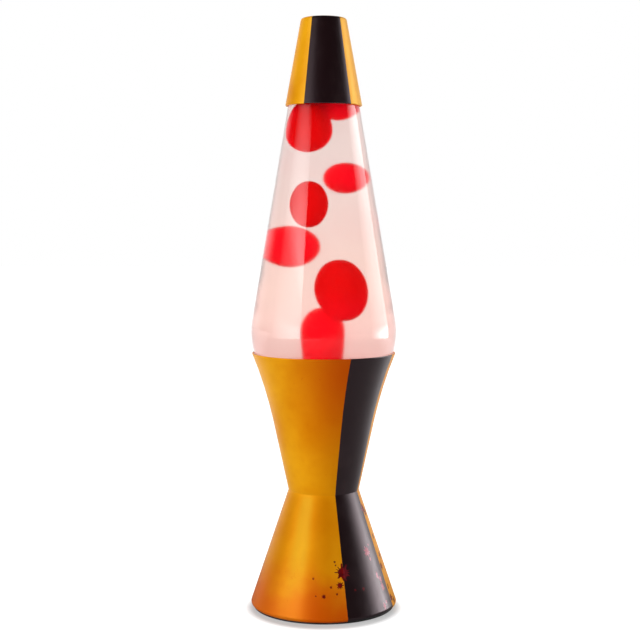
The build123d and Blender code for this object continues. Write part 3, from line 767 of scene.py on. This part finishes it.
def make_coil():
    """One round wire wound into a close helix whose ends meet."""
    curve = bpy.data.curves.new("wound_coil", "CURVE")
    curve.dimensions = "3D"
    curve.bevel_depth, curve.bevel_resolution = COIL_WIRE * MM, 1
    spline = curve.splines.new("POLY")
    count = COIL_TURNS * COIL_STEPS
    spline.points.add(count - 1)
    for k in range(count):
        ring, turn = 2 * pi * k / count, 2 * pi * k / COIL_STEPS
        radius = COIL_RING + (COIL_RADIUS - COIL_WIRE) * cos(turn)
        height = COIL_HEIGHT + (COIL_RADIUS - COIL_WIRE) * sin(turn)
        spline.points[k].co = (radius * cos(ring) * MM, radius * sin(ring) * MM, height * MM, 1)
    spline.use_cyclic_u = True
    drawn = new_object("coil_curve", curve)
    bpy.context.view_layer.update()
    graph = bpy.context.evaluated_depsgraph_get()
    piece = new_object("wound_coil", bpy.data.meshes.new_from_object(drawn.evaluated_get(graph)))
    bpy.data.objects.remove(drawn)
    finish_mesh(piece.data)
    give(piece, metal("coil_steel", (0.70, 0.70, 0.70), (0.5, 0.5, 0.5), 0.3))
    place(piece, "globe", "coil_steel", "heater_coil")


make_base_shell()
make_cap()
make_bottle()
make_liquid()
make_coil()
for seed, node in enumerate(sorted(n for n in nodes if n.startswith("wax_blob_"))):
    make_wax_blob(node, seed)

# CAD nodes that keep their own shape
zinc = metal("zinc_steel", (0.62, 0.63, 0.64), (0.45, 0.46, 0.46), 0.34)
brass = metal("socket_brass", (0.78, 0.58, 0.27), (0.50, 0.34, 0.14), 0.32)
black_plastic = moulded("plate_plastic", (0.035, 0.034, 0.036), (0.012, 0.012, 0.013), 0.5)
rubber = moulded("foot_rubber", (0.05, 0.05, 0.05), (0.022, 0.022, 0.022), 0.8, relief=0.4)
bulb_wall = glass("bulb_glass", BULB_TINT, BULB_IOR)
wire = metal("lead_wire", (0.42, 0.41, 0.40), (0.22, 0.22, 0.23), 0.36)
CAD_FINISHES = {
    "bottom_plate": black_plastic,
    "foot_pads": rubber,
    "cord_grommet": rubber,
    "mounting_yoke": zinc,
    "lamp_pipe": zinc,
    "pipe_nuts": zinc,
    "pipe_washers": zinc,
    "socket_body": moulded("socket_plastic", (0.075, 0.05, 0.04), (0.03, 0.02, 0.017), 0.38),
    "socket_screw_shell": brass,
    "socket_centre_contact": brass,
    "socket_terminal_screws": brass,
    "bulb_tip_contact": metal("solder", (0.62, 0.63, 0.65), (0.40, 0.41, 0.43), 0.42),
    "bulb_insulator": moulded("bulb_insulator", (0.03, 0.03, 0.04), (0.012, 0.012, 0.018), 0.15, relief=0.05),
    "bulb_screw_base": metal("bulb_cap_metal", (0.80, 0.80, 0.79), (0.6, 0.6, 0.6), 0.28),
    "bulb_glass": bulb_wall,
    "bulb_stem": bulb_wall,
    "bulb_lead_wires": wire,
    "bulb_filament": wire,
    "wax_pool": wax,
    "crown_cap": metal("crown_metal", (0.80, 0.62, 0.28), (0.62, 0.44, 0.16), 0.3),
    "crown_liner": moulded("liner_plastic", (0.78, 0.77, 0.74), (0.66, 0.65, 0.61), 0.45),
}
for name, material in CAD_FINISHES.items():
    give(nodes[name], material)

# ---- Camera ----

CAMERA_SPOT = Vector((-0.00233, -0.841, 0.245))
CAMERA_PITCH = 4.31
CAMERA_LENS = 75.7

camera = bpy.data.objects.new("camera", bpy.data.cameras.new("camera"))
scene.collection.objects.link(camera)
camera.data.sensor_width = 36.0
camera.data.lens = CAMERA_LENS
camera.data.clip_start, camera.data.clip_end = 0.01, 100
camera.location = CAMERA_SPOT
camera.rotation_euler = (radians(90 - CAMERA_PITCH), 0, 0)
scene.camera = camera

# ---- Studio ----

FLOOR_REACH = 6.0

# The floor glows less close to the foot, like the soft shadow under a lamp
FLOOR_GLOW = 0.36
SHADOW_CENTRE = (0, -0.005, 0)
SHADOW_INSIDE = 0.044
SHADOW_OUTSIDE = 0.052

# To reflections the floor is bright only behind the lamp, from the first distance and fully from the second
FLOOR_BEHIND = (0.02, 0.4)

# The world as a light: it brightens between these two shares of the way to the back
WORLD_TURN = (0.3, 0.75)
WORLD_FRONT = 0.02
WORLD_BACK = 1.0

# How bright each panel is from its bottom edge to its top, and from its edge of least azimuth to its greatest
KEY_UP = [(0.0, 0.85), (0.58, 0.85), (0.64, 0.45), (0.71, 0.45), (0.76, 1.0), (0.80, 0.85), (0.84, 0.6),
          (0.92, 0.3), (1.0, 0.0)]
KEY_ACROSS = [(0.0, 0.0), (0.75, 1.0)]
STRIP_UP = [(0.0, 1.0), (0.36, 1.0), (0.48, 0.30), (0.64, 0.34), (0.85, 0.66), (1.0, 0.6)]
STRIP_ACROSS = [(0.0, 0.0), (0.55, 1.0)]


def make_floor():
    made = bmesh.new()
    bmesh.ops.create_grid(made, x_segments=1, y_segments=1, size=FLOOR_REACH)
    mesh = bpy.data.meshes.new("floor")
    made.to_mesh(mesh)
    made.free()
    floor = new_object("floor", mesh)
    g = Finish("floor")
    glossy = g.node("ShaderNodeLightPath").outputs["Is Glossy Ray"]
    seen = g.math("MAXIMUM", g.seen(), g.product(glossy, g.ramp(g.axes()[1], *FLOOR_BEHIND)))
    away = g.node("ShaderNodeVectorMath", {0: g.place, 1: SHADOW_CENTRE}, operation="DISTANCE")
    glow = g.ramp(away.outputs["Value"], SHADOW_INSIDE, SHADOW_OUTSIDE, FLOOR_GLOW, 1.0)
    g.set(Base_Color=(0.45, 0.45, 0.45, 1), Roughness=0.9, Specular_IOR_Level=0.1,
          Emission_Color=(1, 1, 1, 1), Emission_Strength=g.product(seen, glow))
    give(floor, g.material)


def area_light(name, azimuth, distance, height, size, radiance, across=None, up=None, glossy=True):
    """An upright panel that faces the lamp. across and up are (place, strength) stops along its two sides."""
    data = bpy.data.lights.new(name, "AREA")
    data.shape, data.size, data.size_y = "RECTANGLE", size[0], size[1]
    data.energy = radiance * pi * size[0] * size[1]
    lamp = bpy.data.objects.new(name, data)
    scene.collection.objects.link(lamp)
    turn = radians(azimuth)
    lamp.location = (sin(turn) * distance, -cos(turn) * distance, height)
    aim = Vector((-lamp.location.x, -lamp.location.y, 0))
    lamp.rotation_euler = aim.to_track_quat("-Z", "Y").to_euler()
    lamp.visible_camera = False
    lamp.visible_transmission = False
    lamp.visible_glossy = glossy
    if across:
        g = Graph(data)
        sides = g.node("ShaderNodeSeparateXYZ", {0: g.node("ShaderNodeNewGeometry").outputs["Parametric"]})
        strength = g.product(g.through(sides.outputs[0], across), g.through(sides.outputs[1], up))
        g.put(g.tree.nodes["Emission"].inputs["Strength"], strength)


def make_world():
    """White to the camera and through the glass. As a light and in reflections, white only at the back."""
    scene.world = bpy.data.worlds.new("studio")
    g = Graph(scene.world)
    background = g.tree.nodes["Background"].inputs
    way = g.node("ShaderNodeSeparateXYZ", {0: g.node("ShaderNodeTexCoord").outputs["Generated"]})
    light = g.ramp(way.outputs[1], *WORLD_TURN, WORLD_FRONT, WORLD_BACK)
    strength = g.node("ShaderNodeMix", {"Factor": g.seen(), 2: light, 3: 1.0})
    g.put(background["Strength"], strength.outputs[0])
    g.put(background["Color"], (1, 1, 1, 1))


make_floor()
make_world()
area_light("key", azimuth=-64, distance=1.4, height=0.30, size=(1.43, 1.3), radiance=5.6,
           across=KEY_ACROSS, up=KEY_UP)
area_light("right_strip", azimuth=100, distance=1.3, height=0.30, size=(1.00, 1.3), radiance=9.0,
           across=STRIP_ACROSS, up=STRIP_UP)
area_light("fill_left", azimuth=-30, distance=1.5, height=0.36, size=(1.2, 1.2), radiance=3.7, glossy=False)
area_light("fill_right", azimuth=35, distance=1.5, height=0.36, size=(1.0, 1.2), radiance=1.6, glossy=False)

scene.view_settings.view_transform = "Standard"
scene.cycles.max_bounces = 24
scene.cycles.transmission_bounces = 20
scene.cycles.transparent_max_bounces = 24
scene.cycles.caustics_reflective = False
scene.cycles.caustics_refractive = True
scene.cycles.use_denoising = True
